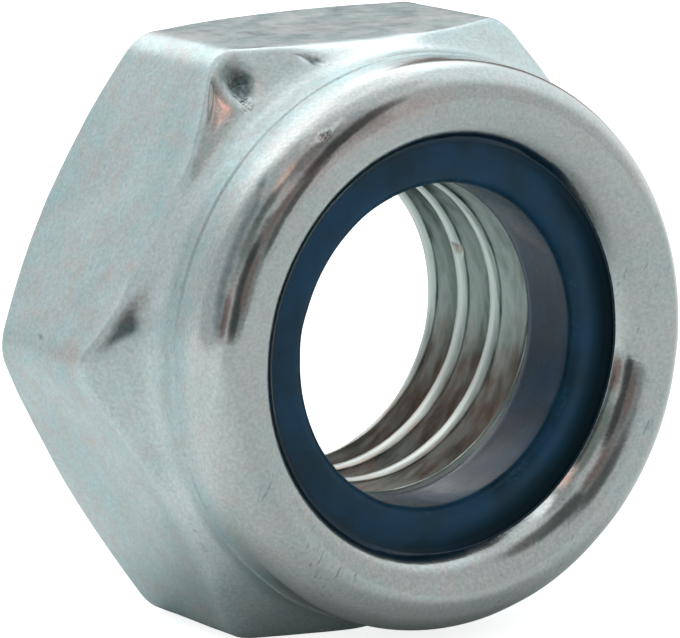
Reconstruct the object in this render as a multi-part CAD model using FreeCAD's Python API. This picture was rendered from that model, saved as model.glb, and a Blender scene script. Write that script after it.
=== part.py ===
"""Prevailing-torque hex nut with a trapped polyamide ring.

One thread size M8 x 1.25 nut of 13 mm across flats and 7.9 mm height. The
nut rests on one of its six flats. The thread axis runs along Y, with the
collar toward -Y and the bearing face toward +Y. The row frame's origin is
the bottom centre of the bounding box.
"""
import math
import os
import FreeCAD, Part

# Hexagon
ACROSS_FLATS = 13.0
CORNER_ROUND = 0.80
NUT_HEIGHT = 7.9

# Bearing face: the flat circle is set in from the flats, and a chamfer cuts the six corners
BEARING_INSET = 0.45
BEARING_CHAMFER_DEG = 35.0

# Shoulder: the cone that cuts the front corners, as a share of the height, and its blend
SHOULDER_START_SHARE = 0.5377
SHOULDER_SLOPE_DEG = 47.0
SHOULDER_BLEND_R = 0.70

# Collar: inset from the flats, with a fine step where the rolled rim begins
COLLAR_INSET = 0.28
COLLAR_STEP = 0.08
STEP_PLACE_SHARE = 0.38

# Thread: its size goes with the spanner size, 8 mm for 13 mm across flats
FLATS_PER_THREAD = 1.625
THREAD_PITCH = 1.25
THREAD_DEPTH_SHARE = 0.44
THREAD_HALF_ANGLE_DEG = 30.0
ROOT_FLAT_SHARE = 0.12
CREST_PHASE_A = 4.13
BACK_COUNTERSINK_OVER = 1.0
FRONT_COUNTERSINK_OVER = 0.05

# Locking ring: its bore grips the screw by this much of radius under the thread's major radius
RING_GRIP = 0.47
RING_THICKNESS_SHARE = 0.2266
RING_MOUTH_SHARE = 0.34
RING_TOP_DISH = 0.12

# Rolled rim over the ring, as shares of the wall from the ring's bore to the collar's outside:
# a wide outer round, a tighter crown, a wide inner round and a short cone down to the lip
RIM_OUTER_SHARE = 0.4015
RIM_CROWN_SHARE = 0.2007
RIM_INNER_SHARE = 0.39
RIM_OVERHANG_SHARE = 0.3695
COLLAR_WALL_SHARE = 0.3602
RIM_TURN_DEG = 35.4
RIM_FACE_DEG = 58.0
LIP_EDGE_DEPTH = 0.06
LIP_UNDERSIDE_DROP = 0.11

# Cutting tools: run past the surfaces they cut, and where the tap's first turn starts
OVERCUT = 1.0
TAP_START_DEG = 20.0

# Sizes that follow from the ones above
CORNER_R = ACROSS_FLATS / math.sqrt(3.0) - CORNER_ROUND * (2.0 / math.sqrt(3.0) - 1.0)
BEARING_R = ACROSS_FLATS / 2.0 - BEARING_INSET
SHOULDER_CORNER_A = NUT_HEIGHT * SHOULDER_START_SHARE
COLLAR_R = ACROSS_FLATS / 2.0 - COLLAR_INSET
COLLAR_BASE_R = COLLAR_R + COLLAR_STEP
THREAD_MAJOR_R = ACROSS_FLATS / FLATS_PER_THREAD / 2.0
THREAD_MINOR_R = THREAD_MAJOR_R - THREAD_PITCH * THREAD_DEPTH_SHARE
RING_BORE_R = THREAD_MAJOR_R - RING_GRIP
RING_TO_COLLAR = COLLAR_R - RING_BORE_R
RIM_OUTER_ROUND = RING_TO_COLLAR * RIM_OUTER_SHARE
RIM_CROWN_ROUND = RING_TO_COLLAR * RIM_CROWN_SHARE
RIM_INNER_ROUND = RING_TO_COLLAR * RIM_INNER_SHARE
RIM_TURN_SIN = math.sin(math.radians(RIM_TURN_DEG))
RIM_TURN_COS = math.cos(math.radians(RIM_TURN_DEG))
RIM_START_A = NUT_HEIGHT - RIM_CROWN_ROUND * (1.0 - RIM_TURN_COS) - RIM_OUTER_ROUND * RIM_TURN_COS
CROWN_R = COLLAR_R - RIM_OUTER_ROUND * (1.0 - RIM_TURN_SIN) - RIM_CROWN_ROUND * RIM_TURN_SIN
LIP_R = CROWN_R - RING_TO_COLLAR * RIM_OVERHANG_SHARE
SEAT_R = COLLAR_R - RING_TO_COLLAR * COLLAR_WALL_SHARE
RIM_FACE_R = CROWN_R - RIM_INNER_ROUND * math.sin(math.radians(RIM_FACE_DEG))
RIM_FACE_A = NUT_HEIGHT - RIM_INNER_ROUND * (1.0 - math.cos(math.radians(RIM_FACE_DEG)))
LIP_TOP_A = RIM_FACE_A - (RIM_FACE_R - LIP_R) * math.tan(math.radians(RIM_FACE_DEG))
LIP_EDGE_A = LIP_TOP_A - LIP_EDGE_DEPTH
SEAT_TOP_A = LIP_EDGE_A - LIP_UNDERSIDE_DROP
SEAT_FLOOR_A = SEAT_TOP_A - NUT_HEIGHT * RING_THICKNESS_SHARE
RING_MOUTH_ROUND = (LIP_R - RING_BORE_R) * RING_MOUTH_SHARE


def point(r, a):
    """Point of a turned profile at radius r and height a over the bearing face."""
    return FreeCAD.Vector(r, 0.0, a)


def line(p, q):
    """Straight profile edge."""
    return Part.makeLine(p, q)


def arc(p, mid, q):
    """Profile edge through three points of one circle."""
    return Part.Arc(p, mid, q).toShape()


def turned(edges):
    """Solid of revolution about the thread axis."""
    face = Part.Face(Part.Wire(edges))
    return face.revolve(FreeCAD.Vector(0, 0, 0), FreeCAD.Vector(0, 0, 1), 360)


def polygon_edges(points):
    """Closed run of straight profile edges."""
    return [line(p, q) for p, q in zip(points, points[1:] + points[:1])]


def hex_prism():
    """Hexagonal bar with rounded corner edges and a flat facing each side of Y."""
    corner_r = ACROSS_FLATS / math.sqrt(3.0)
    points = []
    for k in range(7):
        turn = math.radians(60.0 * k)
        points.append(FreeCAD.Vector(corner_r * math.cos(turn), corner_r * math.sin(turn), -OVERCUT))
    bar = Part.Face(Part.makePolygon(points)).extrude(FreeCAD.Vector(0, 0, NUT_HEIGHT + 2 * OVERCUT))
    uprights = []
    for edge in bar.Edges:
        ends = [v.Point for v in edge.Vertexes]
        if abs(ends[0].z - ends[1].z) > NUT_HEIGHT:
            uprights.append(edge)
    return bar.makeFillet(CORNER_ROUND, uprights)


def shoulder_edges():
    """Shoulder cone, its blend into the collar base, and the collar up to the rim."""
    slope = math.radians(SHOULDER_SLOPE_DEG)
    reach = CORNER_R + OVERCUT
    low_a = SHOULDER_CORNER_A - OVERCUT * math.tan(slope)
    meet_a = SHOULDER_CORNER_A + (CORNER_R - COLLAR_BASE_R) * math.tan(slope)
    turn = (math.pi / 2.0 - slope) / 2.0
    tangent = SHOULDER_BLEND_R * math.tan(turn)
    on_cone = point(COLLAR_BASE_R + tangent * math.cos(slope), meet_a - tangent * math.sin(slope))
    on_collar = point(COLLAR_BASE_R, meet_a + tangent)
    centre = point(COLLAR_BASE_R + SHOULDER_BLEND_R, meet_a + tangent)
    toward = math.pi + turn
    mid = centre + FreeCAD.Vector(math.cos(toward), 0, math.sin(toward)) * SHOULDER_BLEND_R
    rim_start = point(COLLAR_R, RIM_START_A)
    step_a = on_collar.z + (rim_start.z - on_collar.z) * STEP_PLACE_SHARE
    step_top = point(COLLAR_R, step_a + COLLAR_STEP)
    return point(reach, low_a), [
        line(point(reach, low_a), on_cone),
        arc(on_cone, mid, on_collar),
        line(on_collar, point(COLLAR_BASE_R, step_a)),
        line(point(COLLAR_BASE_R, step_a), step_top),
        line(step_top, rim_start),
    ]


def rim_arc(centre, radius, start_deg, end_deg):
    """Arc of the rim's section between two angles from the axis direction, inward positive."""
    spots = []
    for turn in (start_deg, (start_deg + end_deg) / 2.0, end_deg):
        t = math.radians(turn)
        spots.append(centre + FreeCAD.Vector(-math.sin(t), 0, math.cos(t)) * radius)
    return arc(*spots)


def rim_edges():
    """Rolled rim: outer round, crown, inner round, conical face and the lip's edge."""
    outer_centre = point(COLLAR_R - RIM_OUTER_ROUND, RIM_START_A)
    crown_centre = point(CROWN_R, NUT_HEIGHT - RIM_CROWN_ROUND)
    inner_centre = point(CROWN_R, NUT_HEIGHT - RIM_INNER_ROUND)
    face_top = point(RIM_FACE_R, RIM_FACE_A)
    lip_top = point(LIP_R, LIP_TOP_A)
    return [
        rim_arc(outer_centre, RIM_OUTER_ROUND, -90.0, -RIM_TURN_DEG),
        rim_arc(crown_centre, RIM_CROWN_ROUND, -RIM_TURN_DEG, 0.0),
        rim_arc(inner_centre, RIM_INNER_ROUND, 0.0, RIM_FACE_DEG),
        line(face_top, lip_top),
        line(lip_top, point(LIP_R, LIP_EDGE_A)),
    ]


def blank():
    """Cold-formed nut blank with its ring seat, before drilling and tapping."""
    back_slope = math.tan(math.radians(BEARING_CHAMFER_DEG))
    reach = CORNER_R + OVERCUT
    back_a = (reach - BEARING_R) * back_slope
    low, front = shoulder_edges()
    core_r = THREAD_MINOR_R / 2.0
    edges = [
        line(point(core_r, 0), point(BEARING_R, 0)),
        line(point(BEARING_R, 0), point(reach, back_a)),
        line(point(reach, back_a), low),
    ]
    edges += front
    edges += rim_edges()
    edges += [
        line(point(LIP_R, LIP_EDGE_A), point(SEAT_R, SEAT_TOP_A)),
        line(point(SEAT_R, SEAT_TOP_A), point(SEAT_R, SEAT_FLOOR_A)),
        line(point(SEAT_R, SEAT_FLOOR_A), point(core_r, SEAT_FLOOR_A)),
        line(point(core_r, SEAT_FLOOR_A), point(core_r, 0)),
    ]
    return turned(edges).common(hex_prism())


def drill():
    """Tapping-size drill whose wall is four quarter faces."""
    arcs = []
    for k in range(4):
        start = 90.0 * k
        ring = Part.Circle(FreeCAD.Vector(0, 0, -OVERCUT), FreeCAD.Vector(0, 0, 1), THREAD_MINOR_R)
        arcs.append(Part.ArcOfCircle(ring, math.radians(start), math.radians(start + 90.0)).toShape())
    return Part.Face(Part.Wire(arcs)).extrude(FreeCAD.Vector(0, 0, SEAT_FLOOR_A + 2 * OVERCUT))


def countersink(big_r, face_a, outward):
    """Right-angle countersink that opens to big_r at height face_a."""
    small_r = THREAD_MINOR_R / 2.0
    apex_a = face_a - outward * (big_r - small_r)
    far_a = face_a + outward * OVERCUT
    return turned(polygon_edges([
        point(small_r, apex_a),
        point(big_r, face_a),
        point(big_r, far_a),
        point(small_r, far_a),
    ]))


def tap():
    """Right-hand helical cutter of the 60 degree thread form, one set of faces for each turn."""
    tan_half = math.tan(math.radians(THREAD_HALF_ANGLE_DEG))
    inner_r = THREAD_MINOR_R - THREAD_PITCH * ROOT_FLAT_SHARE
    half_root = THREAD_PITCH * ROOT_FLAT_SHARE / 2.0
    half_mouth = half_root + (THREAD_MAJOR_R - inner_r) * tan_half
    corners = [
        (inner_r, -half_mouth),
        (THREAD_MAJOR_R, -half_root),
        (THREAD_MAJOR_R, half_root),
        (inner_r, half_mouth),
    ]
    turns_below = math.ceil((CREST_PHASE_A + 2 * THREAD_PITCH) / THREAD_PITCH)
    start_a = CREST_PHASE_A + (0.5 - turns_below) * THREAD_PITCH
    turns = math.ceil((SEAT_FLOOR_A + THREAD_PITCH - start_a) / THREAD_PITCH)
    faces = []
    for k in range(turns):
        edges = []
        for r, offset in corners:
            edge = Part.makeHelix(THREAD_PITCH, THREAD_PITCH, r).Edges[0].copy()
            edge.translate(FreeCAD.Vector(0, 0, start_a + k * THREAD_PITCH + offset))
            edges.append(edge)
        for i in range(4):
            faces.append(Part.makeRuledSurface(edges[i], edges[(i + 1) % 4]))
    for cap_a in (start_a, start_a + turns * THREAD_PITCH):
        ends = [point(r, cap_a + offset) for r, offset in corners]
        faces.append(Part.Face(Part.makePolygon(ends + ends[:1])))
    shell = Part.makeShell(faces)
    shell.sewShape()
    cutter = Part.makeSolid(shell)
    if cutter.Volume < 0:
        cutter.reverse()
    cutter.rotate(FreeCAD.Vector(0, 0, 0), FreeCAD.Vector(0, 0, 1), TAP_START_DEG)
    cutter.translate(FreeCAD.Vector(0, 0, THREAD_PITCH * TAP_START_DEG / 360.0))
    return cutter


def nut_body():
    """The one-piece zinc-plated nut."""
    body = blank().cut(drill())
    body = body.cut(countersink(THREAD_MAJOR_R + BACK_COUNTERSINK_OVER, 0.0, -1.0))
    body = body.cut(countersink(THREAD_MAJOR_R + FRONT_COUNTERSINK_OVER, SEAT_FLOOR_A, 1.0))
    return body.cut(tap())


def insert_ring():
    """Polyamide ring that fills the seat under the lip."""
    mouth_a = LIP_EDGE_A - RING_TOP_DISH
    half = math.sqrt(0.5)
    round_centre = point(RING_BORE_R + RING_MOUTH_ROUND, mouth_a - RING_MOUTH_ROUND)
    round_mid = round_centre + FreeCAD.Vector(-half, 0, half) * RING_MOUTH_ROUND
    round_top = point(round_centre.x, mouth_a)
    round_low = point(RING_BORE_R, round_centre.z)
    return turned([
        line(point(RING_BORE_R, SEAT_FLOOR_A), point(SEAT_R, SEAT_FLOOR_A)),
        line(point(SEAT_R, SEAT_FLOOR_A), point(SEAT_R, SEAT_TOP_A)),
        line(point(SEAT_R, SEAT_TOP_A), point(LIP_R, LIP_EDGE_A)),
        line(point(LIP_R, LIP_EDGE_A), round_top),
        arc(round_top, round_mid, round_low),
        line(round_low, point(RING_BORE_R, SEAT_FLOOR_A)),
    ])


def placed(shape):
    """Lay the axis along Y, collar toward -Y, with the lowest flat on the ground."""
    shape.rotate(FreeCAD.Vector(0, 0, 0), FreeCAD.Vector(1, 0, 0), 90)
    shape.translate(FreeCAD.Vector(0, NUT_HEIGHT / 2.0, ACROSS_FLATS / 2.0))
    return shape


os.makedirs("parts", exist_ok=True)
for name, shape in (("nut_body", nut_body()), ("insert_ring", insert_ring())):
    solid = placed(shape)
    if len(solid.Solids) != 1:
        raise ValueError(name + " is not one solid")
    solid.Solids[0].exportStep("parts/" + name + ".step")
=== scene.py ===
"""Visual model of a hex lock nut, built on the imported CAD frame.

The nut stands on one flat. A point of it is given by the angle round the
thread axis, the radius from that axis and the height over the bearing face,
all in millimetres and radians until a mesh is made in metres.
"""
import logging
import math
from dataclasses import dataclass, field
from enum import Enum

import bpy
import numpy as np
from mathutils import Matrix, Vector


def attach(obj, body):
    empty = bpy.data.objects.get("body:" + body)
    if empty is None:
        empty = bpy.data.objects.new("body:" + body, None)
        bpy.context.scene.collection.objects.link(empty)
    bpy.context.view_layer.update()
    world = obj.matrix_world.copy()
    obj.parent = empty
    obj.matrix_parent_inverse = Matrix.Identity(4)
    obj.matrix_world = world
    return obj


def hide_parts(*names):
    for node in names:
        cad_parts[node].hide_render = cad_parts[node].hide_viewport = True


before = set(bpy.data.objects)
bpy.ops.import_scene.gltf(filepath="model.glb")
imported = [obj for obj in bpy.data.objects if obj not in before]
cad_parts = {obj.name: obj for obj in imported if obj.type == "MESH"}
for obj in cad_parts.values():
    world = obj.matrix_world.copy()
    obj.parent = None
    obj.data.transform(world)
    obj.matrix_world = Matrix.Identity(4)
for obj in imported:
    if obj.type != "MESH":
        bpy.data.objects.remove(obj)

MM = 0.001
SECTOR = math.pi / 3.0
WELD_DECIMALS = 5
Sockets = dict[str, bpy.types.NodeSocket]
log = logging.getLogger("lock_nut")


class Node(Enum):
    """CAD nodes that the pieces stand for."""

    BODY = "nut_body"
    RING = "insert_ring"


class Slot(Enum):
    """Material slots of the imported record."""

    ZINC = "zinc_steel"
    POLYAMIDE = "blue_polyamide"


def linear(hex_colour: str) -> tuple[float, float, float, float]:
    """Turn an sRGB hex colour into linear values.

    Args:
        hex_colour: Six hex digits after a hash sign.

    Returns:
        Linear red, green and blue, and an alpha of 1.
    """
    parts = [int(hex_colour[i:i + 2], 16) / 255.0 for i in (1, 3, 5)]
    flat = [c / 12.92 if c <= 0.04045 else ((c + 0.055) / 1.055) ** 2.4 for c in parts]
    return flat[0], flat[1], flat[2], 1.0


def per_mm(size_mm: float) -> float:
    """Noise scale whose features are size_mm across, for coordinates in metres."""
    return 1.0 / (size_mm * MM)


def add_node(tree: bpy.types.NodeTree, kind: str, settings: dict | None = None,
             links: dict | None = None) -> bpy.types.Node:
    """Add a node with its settings and links.

    Args:
        tree: Node tree that gets the node.
        kind: Blender's name of the node type.
        settings: Attributes by name, or socket values by socket name or number.
        links: Output sockets by the name or number of the input they feed.

    Returns:
        The new node.
    """
    node = tree.nodes.new(kind)
    for key, value in (settings or {}).items():
        if isinstance(key, str) and hasattr(node, key):
            setattr(node, key, value)
        else:
            node.inputs[key].default_value = value
    for key, socket in (links or {}).items():
        tree.links.new(socket, node.inputs[key])
    return node


def blank_material(name: str) -> bpy.types.Material:
    """Make a material with an empty node tree.

    Args:
        name: Name of the real material and of how its surface was made.

    Returns:
        The material, ready for its nodes.
    """
    material = bpy.data.materials.new(name)
    material.use_nodes = True
    material.node_tree.nodes.clear()
    return material


def smooth_step(low: float, high: float, value: np.ndarray) -> np.ndarray:
    """Rise smoothly from 0 at low to 1 at high."""
    t = np.clip((value - low) / (high - low), 0.0, 1.0)
    return t * t * (3.0 - 2.0 * t)


def soft_min(first: np.ndarray, second: np.ndarray, width: float) -> np.ndarray:
    """Smaller of two values, with a rounded change-over of the given width."""
    h = np.clip(0.5 + 0.5 * (second - first) / width, 0.0, 1.0)
    return second * (1.0 - h) + first * h - width * h * (1.0 - h)


def eased(run: list[tuple[float, float]], count: int, spread: float) -> list[tuple[float, float]]:
    """Resample a section evenly and ease its jumps of curvature.

    Args:
        run: Radius and height of the section's points.
        count: Points of the new section.
        spread: Length in millimetres over which a jump is eased.

    Returns:
        Radius and height of the new points, with the same two ends.
    """
    fine_count, reach = 400, 60
    points = np.array(run)
    length = np.concatenate([[0.0], np.cumsum(np.linalg.norm(np.diff(points, axis=0), axis=1))])
    even = np.linspace(0.0, length[-1], fine_count)
    dense = np.stack([np.interp(even, length, points[:, k]) for k in (0, 1)], axis=1)
    offsets = np.arange(-reach, reach + 1) * (even[1] - even[0])
    kernel = np.exp(-0.5 * (offsets / spread) ** 2)
    kernel /= kernel.sum()
    before = 2.0 * dense[0] - dense[reach:0:-1]
    after = 2.0 * dense[-1] - dense[-2:-reach - 2:-1]
    padded = np.concatenate([before, dense, after])
    smooth = np.stack([np.convolve(padded[:, k], kernel, mode="valid") for k in (0, 1)], axis=1)
    picks = np.linspace(0, len(smooth) - 1, count).round().astype(int)
    return [(float(r), float(h)) for r, h in smooth[picks]]


def waves(points: np.ndarray, size_mm: float, seed: int) -> np.ndarray:
    """Smooth random field made of plane waves.

    Args:
        points: Positions in millimetres, with x, y and z last.
        size_mm: Typical distance between crests.
        seed: Seed of the random directions.

    Returns:
        Values of about -1 to 1, one for each point.
    """
    count = 14
    shortest, longest = 0.7, 1.5
    rng = np.random.default_rng(seed)
    total = np.zeros(points.shape[:-1])
    for _ in range(count):
        direction = rng.normal(size=3)
        wave_mm = size_mm * rng.uniform(shortest, longest)
        direction *= 2.0 * math.pi / wave_mm / np.linalg.norm(direction)
        total += np.sin(points @ direction + rng.uniform(0.0, 2.0 * math.pi))
    return total / math.sqrt(count)


@dataclass(frozen=True)
class NutSizes:
    """Sizes shared by the pieces, in millimetres, as the CAD source has them."""

    across_flats: float = 13.0
    height: float = 7.9
    corner_round: float = 0.80
    bearing_r: float = 6.05
    bearing_chamfer_deg: float = 35.0
    shoulder_start: float = 4.248
    shoulder_slope_deg: float = 47.0
    shoulder_blend: float = 0.70
    collar_base_r: float = 6.30
    collar_r: float = 6.22
    step_height: float = 6.15
    rim_start: float = 6.92
    rim_outer: float = 1.08
    rim_turn_deg: float = 35.4
    rim_crown: float = 0.54
    crown_r: float = 5.453
    rim_inner: float = 1.049
    rim_face_deg: float = 58.0
    lip_r: float = 4.459
    lip_top: float = 7.24
    lip_edge: float = 7.18
    seat_r: float = 5.251
    seat_top: float = 7.07
    seat_floor: float = 5.28
    thread_major_r: float = 4.0
    thread_minor_r: float = 3.45
    pitch: float = 1.25
    crest_height: float = 4.13
    back_sink_r: float = 5.0
    front_sink_r: float = 4.05
    ring_bore_r: float = 3.53
    ring_mouth: float = 0.316
    ring_top: float = 7.085

    @property
    def corner_r(self) -> float:
        """Radius of the rounded corner edges from the axis."""
        return self.across_flats / math.sqrt(3.0) - self.corner_round * (2.0 / math.sqrt(3.0) - 1.0)

    def place(self, theta: np.ndarray, r: np.ndarray, height: np.ndarray) -> np.ndarray:
        """Turn angle, radius and height into a place in the part's frame.

        Args:
            theta: Angle round the thread axis, in radians.
            r: Distance from that axis, in millimetres.
            height: Height over the bearing face, in millimetres.

        Returns:
            Points in millimetres, with x, y and z last.
        """
        x = r * np.cos(theta)
        y = self.height / 2.0 - height + 0.0 * theta
        z = self.across_flats / 2.0 + r * np.sin(theta)
        return np.stack(np.broadcast_arrays(x, y, z), axis=-1)

    def unplace(self, points: np.ndarray) -> tuple[np.ndarray, np.ndarray, np.ndarray]:
        """Radius, angle in degrees and height over the bearing face of points.

        Args:
            points: Points in millimetres, with x, y and z last.

        Returns:
            Radius in millimetres, angle from -180 to 180 degrees and height.
        """
        x, z = points[..., 0], points[..., 2] - self.across_flats / 2.0
        height = self.height / 2.0 - points[..., 1]
        return np.hypot(x, z), np.degrees(np.arctan2(z, x)), height

    def hex_radius(self, theta: np.ndarray) -> np.ndarray:
        """Distance from the axis to the hexagon with its rounded corner edges.

        Args:
            theta: Angle round the thread axis, in radians.

        Returns:
            Radius in millimetres at each angle.
        """
        half = SECTOR / 2.0
        apothem = self.across_flats / 2.0
        turn = np.mod(theta, SECTOR)
        flat = apothem / np.cos(turn - half)
        centre = (apothem - self.corner_round) / math.cos(half)
        off = np.minimum(turn, SECTOR - turn)
        reach = self.corner_round ** 2 - (centre * np.sin(off)) ** 2
        rounded = centre * np.cos(off) + np.sqrt(np.maximum(reach, 0.0))
        tangent = math.atan2(self.corner_round * math.sin(half),
                             centre + self.corner_round * math.cos(half))
        return np.where(off < tangent, rounded, flat)

    def angles(self, corner_count: int, flat_count: int) -> np.ndarray:
        """Angles of the mesh columns, closer together on the rounded corner edges.

        Args:
            corner_count: Columns on each corner edge.
            flat_count: Columns between two corner edges.

        Returns:
            Rising angles over one turn, without the closing one.
        """
        edge = math.radians(3.6)
        crowding = 0.55
        near = np.linspace(-edge, edge, corner_count, endpoint=False)
        even = np.linspace(0.0, 1.0, flat_count, endpoint=False)
        crowded = (1.0 - crowding) * even + crowding * (0.5 - 0.5 * np.cos(math.pi * even))
        one = np.concatenate([near, edge + (SECTOR - 2.0 * edge) * crowded])
        return np.concatenate([one + k * SECTOR for k in range(6)])


@dataclass(frozen=True, kw_only=True)
class Wear:
    """What a blow, a tool or a stain did to the surface.

    Depth and rugged are millimetres: how far the mark is pressed in, and how
    torn it is. The others are shares: crumple folds the plate finely, stain
    darkens it, for real stains and for painted dark reflections and painted
    shade, blush turns it rosy, for real rubs and for painted rosy reflections,
    and polish smooths it.
    """

    depth: float = 0.0
    rugged: float = 0.0
    crumple: float = 0.0
    stain: float = 0.0
    blush: float = 0.0
    polish: float = 0.0

    def weight(self, sizes: NutSizes, points: np.ndarray) -> np.ndarray:
        """Share of the mark at each point, which every kind of mark gives."""
        raise NotImplementedError

    def press(self, sizes: NutSizes, points: np.ndarray) -> np.ndarray:
        """Depth in millimetres to which the mark is pressed in."""
        return self.depth * self.weight(sizes, points)


@dataclass(frozen=True)
class Mark(Wear):
    """A round dent, scuff, stain or painted rosy reflection.

    The centre is an angle in degrees, a radius and a height in millimetres.
    The size is the mark's radius, which stretch multiplies along x, y and z.
    """

    angle: float
    radius: float
    height: float
    size: float
    stretch: tuple[float, float, float] = (1.0, 1.0, 1.0)
    full_share: float = 0.35

    def weight(self, sizes: NutSizes, points: np.ndarray) -> np.ndarray:
        """Fall-off from 1 at the mark's centre to 0 at its edge.

        Args:
            sizes: Sizes of the nut.
            points: Points in millimetres.

        Returns:
            Share of the mark at each point.
        """
        centre = sizes.place(np.array(math.radians(self.angle)), np.array(self.radius),
                             np.array(self.height))
        away = (points - centre) / (self.size * np.array(self.stretch))
        return smooth_step(1.0, self.full_share, np.sqrt((away ** 2).sum(axis=-1)))


@dataclass(frozen=True)
class Streak(Wear):
    """A line that runs round the axis, used for painted reflections and painted shade, and pressed
    in where it has depth.

    The line goes through points given by an angle in degrees, which rises,
    and a radius and a height in millimetres. The size is its half width.
    """

    line: tuple[tuple[float, float, float], ...]
    size: float
    fade_deg: float = 4.0

    def weight(self, sizes: NutSizes, points: np.ndarray) -> np.ndarray:
        """Fall-off from 1 on the line to 0 at its edges and its two ends.

        Args:
            sizes: Sizes of the nut.
            points: Points in millimetres.

        Returns:
            Share of the streak at each point.
        """
        r, angle, height = sizes.unplace(points)
        angles, radii, heights = np.array(self.line).T
        away_r = r - np.interp(angle, angles, radii)
        away_h = height - np.interp(angle, angles, heights)
        across = np.clip(1.0 - (away_r ** 2 + away_h ** 2) / self.size ** 2, 0.0, 1.0)
        start = smooth_step(angles[0] - self.fade_deg, angles[0] + self.fade_deg, angle)
        end = smooth_step(angles[-1] + self.fade_deg, angles[-1] - self.fade_deg, angle)
        return across ** 2 * start * end


@dataclass(frozen=True)
class Facet(Wear):
    """A three-cornered mark on the shoulder: the facet that a blow left, and a wedge darkened as a
    painted dark reflection.

    The corners are angles in degrees, in rising order round the facet, and
    heights in millimetres. The facet leans, so it is deeper away from the
    collar by lean millimetres in each millimetre of height.
    """

    corners: tuple[tuple[float, float], ...]
    soft: float = 0.10
    lean: float = 0.0

    def weight(self, sizes: NutSizes, points: np.ndarray) -> np.ndarray:
        """Share from 1 inside the corners to 0 outside them.

        Args:
            sizes: Sizes of the nut.
            points: Points in millimetres.

        Returns:
            Share of the facet at each point.
        """
        mean_r, clear_of_collar = sizes.collar_r + 0.6, 0.02
        r, angle, height = sizes.unplace(points)
        around = math.radians(mean_r)
        places = [np.array((a * around, h)) for a, h in self.corners]
        middle = sum(places) / len(places)
        share = (r > sizes.collar_base_r + clear_of_collar) * 1.0
        for start, end in zip(places, places[1:] + places[:1]):
            across = np.array((start[1] - end[1], end[0] - start[0])) / np.linalg.norm(end - start)
            if np.dot(middle - start, across) < 0.0:
                across = -across
            inside = (angle * around - start[0]) * across[0] + (height - start[1]) * across[1]
            share = share * smooth_step(-self.soft / 2.0, self.soft / 2.0, inside)
        return share

    def press(self, sizes: NutSizes, points: np.ndarray) -> np.ndarray:
        """Depth in millimetres to which the leaning facet is pressed in.

        Args:
            sizes: Sizes of the nut.
            points: Points in millimetres.

        Returns:
            Depth at each point.
        """
        top = max(height for _, height in self.corners)
        below = np.clip(top - sizes.unplace(points)[2], 0.0, 1.0)
        return self.lean * below * self.weight(sizes, points)


@dataclass
class GridMesh:
    """A sheet of rows and columns that closes round the axis and on itself."""

    name: str
    blocks: list[np.ndarray] = field(default_factory=list)
    beside: list[np.ndarray] = field(default_factory=list)
    slots: list[np.ndarray] = field(default_factory=list)
    values: dict[str, list[np.ndarray]] = field(default_factory=dict)
    rows: int = 0

    def add(self, points: np.ndarray, slot: int = 0, turn_rows: int = 0,
            **values: np.ndarray) -> None:
        """Add a block of rows with its per-point values.

        Args:
            points: Rows by columns by three, in millimetres.
            slot: Material slot of the block's faces.
            turn_rows: Rows by which a helical block steps on after one turn.
            values: Per-point values by name.
        """
        count, columns = points.shape[:2]
        index = (self.rows + np.arange(count))[:, None] * columns + np.arange(columns)[None, :]
        beside = np.roll(index, -1, axis=1)
        stepped = np.clip(np.arange(count) + turn_rows, 0, count - 1)
        beside[:, -1] = index[stepped, 0]
        self.blocks.append(points)
        self.beside.append(beside)
        self.slots.append(np.full((count, columns), slot))
        self.rows += count
        for key, value in values.items():
            self.values.setdefault(key, []).append(np.broadcast_to(value, points.shape[:2]))

    def build(self) -> bpy.types.Object:
        """Weld the blocks into one closed object.

        Returns:
            The object, in metres and linked to the scene.
        """
        points = np.concatenate(self.blocks, axis=0)
        index = np.arange(points.shape[0] * points.shape[1]).reshape(points.shape[:2])
        beside = np.concatenate(self.beside, axis=0)
        quads = np.stack([index, beside, np.roll(beside, -1, axis=0), np.roll(index, -1, axis=0)],
                         axis=-1).reshape(-1, 4)
        slots = np.concatenate(self.slots, axis=0).ravel()
        places = np.round(points.reshape(-1, 3), WELD_DECIMALS)
        _, first, weld = np.unique(places, axis=0, return_index=True, return_inverse=True)
        quads = weld.reshape(-1)[quads]
        faces, face_slots = [], []
        for quad, slot in zip(quads.tolist(), slots.tolist()):
            corners = [v for k, v in enumerate(quad) if v != quad[k - 1]]
            if len(set(corners)) >= 3:
                faces.append(corners)
                face_slots.append(slot)
        mesh = bpy.data.meshes.new(self.name)
        mesh.from_pydata((points.reshape(-1, 3)[first] * MM).tolist(), [], faces)
        for key, parts in self.values.items():
            layer = mesh.attributes.new(key, "FLOAT", "POINT")
            value = np.concatenate(parts, axis=0).ravel()[first]
            layer.data.foreach_set("value", value.astype(np.float32))
        mesh.polygons.foreach_set("use_smooth", [True] * len(faces))
        mesh.polygons.foreach_set("material_index", face_slots)
        obj = bpy.data.objects.new(self.name, mesh)
        bpy.context.scene.collection.objects.link(obj)
        return obj


def grid_normals(points: np.ndarray) -> np.ndarray:
    """Unit normals of a block of rows that closes along its columns.

    Args:
        points: Rows by columns by three.

    Returns:
        A unit vector for each point.
    """
    along = np.gradient(points, axis=0)
    around = np.roll(points, -1, axis=1) - np.roll(points, 1, axis=1)
    normal = np.cross(around, along)
    return normal / np.maximum(np.linalg.norm(normal, axis=-1, keepdims=True), 1e-9)


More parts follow.
